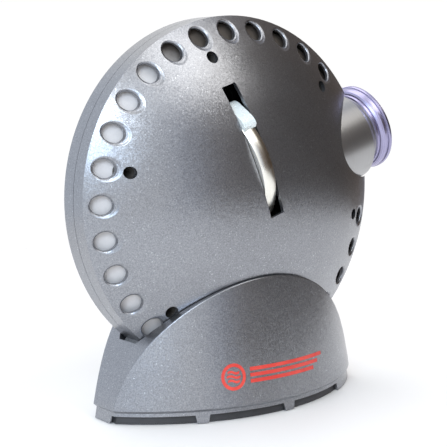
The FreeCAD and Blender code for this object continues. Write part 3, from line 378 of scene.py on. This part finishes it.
def turned(name, centre, axis, base, roughs, metallic=1.0, ka=2600.0,
           strength=0.10, coat=0.0):
    a = Mat(name, Metallic=metallic, Coat_Weight=coat)
    vec = a.around(centre, axis, ka, ka)
    rings = a.noise(vec, 1.0, 3.0, 0.6)
    stain = a.noise(a.co, 60.0, 4.0, 0.6)
    col = a.ramp(rings, [(0.3, base[0]), (0.7, base[1])])
    col = a.mix(a.ramp(stain, [(0.45, 0.0), (0.8, 0.35)]), col, base[2])
    a.set("Base Color", col)
    r = a.mix(0.5, a.ramp(rings, [(0.3, roughs[0]), (0.7, roughs[1])]),
              a.ramp(stain, [(0.3, roughs[0]), (0.7, roughs[1])]))
    a.set("Roughness", r)
    a.bump(rings, strength, 0.00006)
    return a.m


def glass(name, tint, rough=0.02, ior=1.52, trans=1.0):
    a = Mat(name, Transmission_Weight=trans, IOR=ior, Metallic=0.0)
    smudge = a.noise(a.co, 90.0, 4.0, 0.6)
    a.set("Base Color", a.ramp(smudge, [(0.3, tint), (0.8, tuple(
        c * 0.94 for c in tint))]))
    a.set("Roughness", a.ramp(smudge, [(0.35, rough), (0.8, rough + 0.05)]))
    a.bump(smudge, 0.02, 0.0001)
    return a.m


def sheet_metal():
    a = Mat("zinc_sheet", Metallic=1.0)
    cell = a.voronoi(a.co, 190.0)
    roll = a.noise(a.scaled(60, 1400, 60), 1.0, 3.0)
    col = a.mix(0.5, a.ramp(cell, [(0.1, (0.50, 0.51, 0.52)),
                                   (0.9, (0.66, 0.67, 0.68))]),
                a.ramp(roll, [(0.3, (0.52, 0.52, 0.52)),
                              (0.7, (0.64, 0.64, 0.63))]))
    a.set("Base Color", col)
    a.set("Roughness", a.ramp(cell, [(0.1, 0.28), (0.9, 0.46)]))
    a.bump(roll, 0.12, 0.0001)
    return a.m


def plastic(name, dark, light, rough=(0.42, 0.56), grain=1500.0, coat=0.0,
            strength=0.22):
    a = Mat(name, Metallic=0.0, Coat_Weight=coat)
    tex = a.voronoi(a.co, grain, out="Distance")
    cloud = a.noise(a.co, 45.0, 4.0)
    a.set("Base Color", a.ramp(cloud, [(0.3, dark), (0.75, light)]))
    a.set("Roughness", a.mix(0.5, a.ramp(cloud, [(0.3, rough[0]),
                                                 (0.7, rough[1])]),
                             a.ramp(tex, [(0.1, rough[0]), (0.7, rough[1])])))
    a.bump(tex, strength, 0.0001)
    return a.m


def baffle():
    """Pale paint, darkened towards the upper right (over the lamp) as painted
    shade.
    """
    a = Mat("baffle_white", Metallic=0.0)
    sub = a.t.nodes.new("ShaderNodeVectorMath")
    sub.operation = "SUBTRACT"
    sub.inputs[1].default_value = (0, 0, 0.1545)
    a.link(a.co, sub.inputs[0])
    dot = a.t.nodes.new("ShaderNodeVectorMath")
    dot.operation = "DOT_PRODUCT"
    dot.inputs[1].default_value = (5.6, 0, 6.4)
    a.link(sub.outputs[0], dot.inputs[0])
    cloud = a.noise(a.co, 55.0, 4.0)
    tex = a.voronoi(a.co, 1200.0, out="Distance")
    pale = a.ramp(cloud, [(0.3, (0.62, 0.60, 0.60)), (0.75, (0.80, 0.78, 0.78))])
    # near-black colour: painted shade for the upper vents, not a colour of the part
    shade_dark = a.ramp(cloud, [(0.3, (0.050, 0.040, 0.032)),
                          (0.75, (0.085, 0.070, 0.058))])
    # mask that rises towards the upper right of the hub, with cloud noise added:
    # where the painted shade goes
    upper_shade = a.math("ADD", dot.outputs["Value"],
                  a.math("MULTIPLY", cloud, 0.25))
    a.set("Base Color", a.mix(a.ramp(upper_shade, [(0.22, 0.0), (0.50, 1.0)]),
                              pale, shade_dark))
    a.set("Roughness", a.ramp(tex, [(0.1, 0.50), (0.7, 0.66)]))
    a.bump(tex, 0.22, 0.0001)
    return a.m


def rubber():
    a = Mat("black_rubber", Metallic=0.0, Sheen_Weight=0.1)
    pore = a.noise(a.co, 1800.0, 3.0)
    dust = a.noise(a.co, 120.0, 5.0, 0.65)
    a.set("Base Color", a.ramp(dust, [(0.4, (0.018, 0.018, 0.019)),
                                      (0.85, (0.075, 0.072, 0.068))]))
    a.set("Roughness", a.ramp(pore, [(0.3, 0.68), (0.7, 0.86)]))
    a.bump(pore, 0.4, 0.0002)
    return a.m


def felt():
    a = Mat("grey_felt", Metallic=0.0, Sheen_Weight=0.5)
    fib = a.noise(a.scaled(2600, 500, 1500, (0.4, 0.2, 0.7)), 1.0, 4.0, 0.7,
                  1.2)
    fib2 = a.noise(a.scaled(700, 2500, 1500, (1.1, 0.5, 0.2)), 1.0, 4.0, 0.7,
                   1.0)
    both = a.math("MULTIPLY", fib, fib2)
    a.set("Base Color", a.ramp(both, [(0.12, (0.05, 0.05, 0.055)),
                                      (0.42, (0.27, 0.27, 0.28))]))
    a.set("Roughness", a.ramp(both, [(0.1, 0.95), (0.5, 0.85)]))
    a.bump(both, 0.7, 0.0004)
    return a.m


def steel(name="screw_steel", lo=(0.36, 0.36, 0.37), hi=(0.56, 0.56, 0.57)):
    a = Mat(name, Metallic=1.0)
    n = a.noise(a.co, 700.0, 4.0, 0.6)
    s = a.noise(a.scaled(300, 3000, 300), 1.0, 2.0)
    a.set("Base Color", a.ramp(n, [(0.3, lo), (0.7, hi)]))
    a.set("Roughness", a.ramp(s, [(0.3, 0.24), (0.75, 0.42)]))
    a.bump(s, 0.12, 0.00008)
    return a.m


def cast():
    a = Mat("cast_aluminium", Metallic=1.0)
    n = a.noise(a.co, 1100.0, 4.0, 0.7)
    c = a.noise(a.co, 40.0, 3.0)
    a.set("Base Color", a.ramp(c, [(0.3, (0.54, 0.55, 0.56)),
                                   (0.7, (0.64, 0.65, 0.66))]))
    a.set("Roughness", a.ramp(n, [(0.3, 0.40), (0.7, 0.58)]))
    a.bump(n, 0.35, 0.0002)
    return a.m


def reflector():
    a = Mat("reflector_glass", Metallic=0.92, Coat_Weight=0.3)
    v = a.voronoi(a.co, 330.0, out="Distance")
    t = a.noise(a.co, 30.0, 2.0)
    a.set("Base Color", a.ramp(t, [(0.3, (0.80, 0.82, 0.90)),
                                   (0.55, (0.90, 0.86, 0.82)),
                                   (0.8, (0.74, 0.86, 0.92))]))
    a.set("Roughness", a.ramp(v, [(0.1, 0.06), (0.8, 0.14)]))
    a.bump(v, 0.25, 0.0006)
    return a.m


def board():
    a = Mat("circuit_board", Metallic=0.0, Coat_Weight=0.4)
    br = a.t.nodes.new("ShaderNodeTexBrick")
    br.inputs["Scale"].default_value = 1.0
    br.inputs["Color1"].default_value = (0.02, 0.13, 0.05, 1)
    br.inputs["Color2"].default_value = (0.03, 0.17, 0.07, 1)
    br.inputs["Mortar"].default_value = (0.13, 0.30, 0.10, 1)
    br.inputs["Mortar Size"].default_value = 0.05
    br.inputs["Brick Width"].default_value = 1.3
    br.inputs["Row Height"].default_value = 0.5
    a.link(a.scaled(260), br.inputs["Vector"])
    n = a.noise(a.co, 300.0, 3.0)
    a.set("Base Color", a.mix(a.ramp(n, [(0.4, 0.0), (0.8, 0.4)]),
                              br.outputs["Color"], (0.05, 0.20, 0.09)))
    a.set("Roughness", a.ramp(n, [(0.3, 0.30), (0.7, 0.45)]))
    a.bump(br.outputs["Fac"], 0.2, 0.0001)
    return a.m


def capsule_cap():
    a = Mat("frosted_clear", Transmission_Weight=0.30, IOR=1.46, Metallic=0.0,
            Subsurface_Weight=0.0)
    n = a.noise(a.co, 260.0, 4.0, 0.6)
    a.set("Base Color", a.ramp(n, [(0.3, (0.86, 0.97, 0.98)),
                                   (0.7, (0.96, 0.99, 0.99))]))
    a.set("Roughness", a.ramp(n, [(0.3, 0.12), (0.7, 0.34)]))
    a.bump(n, 0.2, 0.0002)
    return a.m


def red_print():
    a = Mat("red_print", Metallic=0.0, Coat_Weight=0.2)
    n = a.noise(a.co, 900.0, 3.0)
    c = a.noise(a.co, 90.0, 3.0)
    a.set("Base Color", a.ramp(c, [(0.3, (0.66, 0.045, 0.035)),
                                   (0.7, (0.78, 0.075, 0.055))]))
    a.set("Roughness", a.ramp(n, [(0.3, 0.36), (0.7, 0.52)]))
    a.bump(n, 0.15, 0.00008)
    return a.m


MATS = {
    "silver_paint": silver_paint(),
    "black_oxide": steel("black_oxide", (0.02, 0.02, 0.021),
                         (0.05, 0.05, 0.052)),
    "baffle_white": baffle(),
    "satin_silver": turned("satin_silver", HUB, AXIS, (
        (0.38, 0.38, 0.385), (0.42, 0.42, 0.425), (0.34, 0.33, 0.33)),
        (0.30, 0.36), 0.92, strength=0.03),
    "violet_anodised": turned("violet_anodised", HUB, AXIS, (
        (0.33, 0.31, 0.48), (0.45, 0.43, 0.62), (0.27, 0.25, 0.38)),
        (0.26, 0.36), 1.0, strength=0.05, coat=0.15),
    "black_anodised": turned("black_anodised", HUB, AXIS, (
        (0.018, 0.018, 0.020), (0.034, 0.034, 0.038), (0.06, 0.06, 0.06)),
        (0.38, 0.52), 0.55),
    "lens_glass": glass("lens_glass", (0.95, 0.98, 0.97)),
    "zinc_sheet": sheet_metal(),
    "reflector_glass": reflector(),
    "quartz": glass("quartz", (0.98, 0.98, 0.98), 0.03, 1.46),
    "ceramic_white": plastic("ceramic_white", (0.66, 0.63, 0.57),
                             (0.80, 0.78, 0.73), (0.55, 0.72), 900.0),
    "screw_steel": steel(),
    "cast_aluminium": cast(),
    "gearbox_plastic": plastic("gearbox_plastic", (0.06, 0.06, 0.065),
                               (0.11, 0.11, 0.115)),
    "terminal_plastic": plastic("terminal_plastic", (0.66, 0.65, 0.60),
                                (0.80, 0.79, 0.74)),
    "lead_sleeve": plastic("lead_sleeve", (0.55, 0.50, 0.42),
                           (0.74, 0.69, 0.60), (0.6, 0.78), 2200.0, 0.0, 0.5),
    "polished_rim": turned("polished_rim", WHEEL, AXIS, (
        (0.84, 0.82, 0.74), (0.96, 0.95, 0.90), (0.50, 0.48, 0.37)),
        (0.24, 0.38), 1.0, 1800.0),
    "clear_liquid": glass("clear_liquid", (0.55, 0.78, 0.90), 0.0, 1.33),
    "coloured_oil": glass("coloured_oil", (0.85, 0.16, 0.34), 0.02, 1.40),
    "hub_plastic": plastic("hub_plastic", (0.03, 0.03, 0.032),
                           (0.06, 0.06, 0.064), (0.2, 0.32), 1800.0, 0.3),
    "brass_nut": steel("brass_nut", (0.50, 0.36, 0.12), (0.74, 0.58, 0.26)),
    "frosted_clear": capsule_cap(),
    "black_rubber": rubber(),
    "grey_felt": felt(),
    "case_plastic": plastic("case_plastic", (0.028, 0.028, 0.03),
                            (0.055, 0.055, 0.06)),
    "circuit_board": board(),
    "gland_plastic": plastic("gland_plastic", (0.02, 0.02, 0.022),
                             (0.045, 0.045, 0.05)),
    "red_print": red_print(),
}

DOME_C = 0.1581          # depth of each dome's centre behind its face
SHELLS = {
    "front_shell": silver_paint("silver_front", (
        Vector((0, DOME_C, 0.1545)), 0.2145 - 0.00292, (1, 1, 1)), 0.1285),
    "rear_shell": silver_paint("silver_rear", (
        Vector((0, -DOME_C, 0.1545)), 0.2145 - 0.00292, (1, 1, 1)), 0.1285),
}

slot_of = {s["node"]: s["material_slot"] for s in frame["record"]["subparts"]}
for name, obj in NODES.items():
    mat = SHELLS.get(name) or MATS[slot_of[name]]
    obj.data.materials.clear()
    obj.data.materials.append(mat)


# --------------------------------------------------------- printed emblem
def panel_point(phi, z, lift=0.00012):
    """Point on the leaning front panel: phi round its axis, height z."""
    r = 0.1485 - 0.139 * (z - 0.0005) + lift
    return Vector((r * math.sin(phi), 0.0838 - r * math.cos(phi), z))


def mark_mesh(name, loops):
    """Closed flat outlines (in metres along the panel and up it), each cut
    in small quads and wrapped on the front panel."""
    bm = bmesh.new()
    for poly in loops:
        outer, inner = poly
        n = len(outer)
        top = []
        for pts in (outer, inner):
            row = []
            for s, z in pts:
                row.append(bm.verts.new(panel_point(s / 0.1455, z)))
            top.append(row)
        for i in range(n):
            j = (i + 1) % n
            bm.faces.new((top[0][i], top[0][j], top[1][j], top[1][i]))
    bmesh.ops.recalc_face_normals(bm, faces=bm.faces)
    me = bpy.data.meshes.new(name)
    bm.to_mesh(me)
    bm.free()
    o = bpy.data.objects.new(name, me)
    bpy.context.scene.collection.objects.link(o)
    o.data.materials.append(MATS["red_print"])
    return o


def disc_ring(s0, z0, ro, ri, n=72):
    o, i = [], []
    for k in range(n):
        t = 2 * math.pi * k / n
        o.append((s0 + ro * math.cos(t), z0 + ro * math.sin(t)))
        i.append((s0 + ri * math.cos(t), z0 + ri * math.sin(t)))
    return o, i


def wavy_band(s0, z0, half, thick, amp, n=48):
    o, i = [], []
    pts = []
    for k in range(n + 1):
        t = k / n
        s = s0 - half + 2 * half * t
        zc = z0 + amp * math.sin(2 * math.pi * t)
        pts.append((s, zc))
    up = [(s, z + thick / 2) for s, z in pts]
    dn = [(s, z - thick / 2) for s, z in pts]
    return up, dn


def ribbon(bm, up, dn):
    a = [bm.verts.new(panel_point(s / 0.1455, z)) for s, z in up]
    b = [bm.verts.new(panel_point(s / 0.1455, z)) for s, z in dn]
    for k in range(len(a) - 1):
        bm.faces.new((a[k], b[k], b[k + 1], a[k + 1]))


MARK_S, MARK_Z = -0.0380, 0.0308
ring = mark_mesh("printed_ring", [disc_ring(MARK_S, MARK_Z, 0.0094, 0.0070)])
bm = bmesh.new()
for k, dz in enumerate((-0.0030, 0.0, 0.0030)):
    half = (0.0048, 0.0056, 0.0048)[k]
    up, dn = wavy_band(MARK_S, MARK_Z + dz, half * 0.94, 0.0018, 0.0007)
    ribbon(bm, up, dn)
for z_off, s1 in ((0.0042, 0.0480), (0.0, 0.0420), (-0.0042, 0.0360)):
    s0 = MARK_S + 0.0130
    n = 60
    up = [(s0 + (s1 - s0) * k / n, MARK_Z + z_off + 0.0013) for k in range(n + 1)]
    dn = [(s, z - 0.0026) for s, z in up]
    ribbon(bm, up, dn)
bmesh.ops.recalc_face_normals(bm, faces=bm.faces)
me = bpy.data.meshes.new("printed_waves")
bm.to_mesh(me)
bm.free()
waves = bpy.data.objects.new("printed_waves", me)
bpy.context.scene.collection.objects.link(waves)
waves.data.materials.append(MATS["red_print"])
for o in (ring, waves):
    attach(o, "base")


# ------------------------------------------------------------------- floor
def floor():
    bm = bmesh.new()
    bmesh.ops.create_circle(bm, cap_ends=True, segments=96, radius=0.85)
    me = bpy.data.meshes.new("floor")
    bm.to_mesh(me)
    bm.free()
    o = bpy.data.objects.new("floor", me)
    bpy.context.scene.collection.objects.link(o)
    a = Mat("floor_white", Metallic=0.0)
    n = a.noise(a.co, 3.0, 3.0)
    a.set("Base Color", a.ramp(n, [(0.3, (0.87, 0.86, 0.85)),
                                   (0.7, (0.89, 0.88, 0.87))]))
    a.set("Roughness", a.ramp(n, [(0.3, 0.75), (0.7, 0.85)]))
    o.data.materials.append(a.m)
    return o


floor()
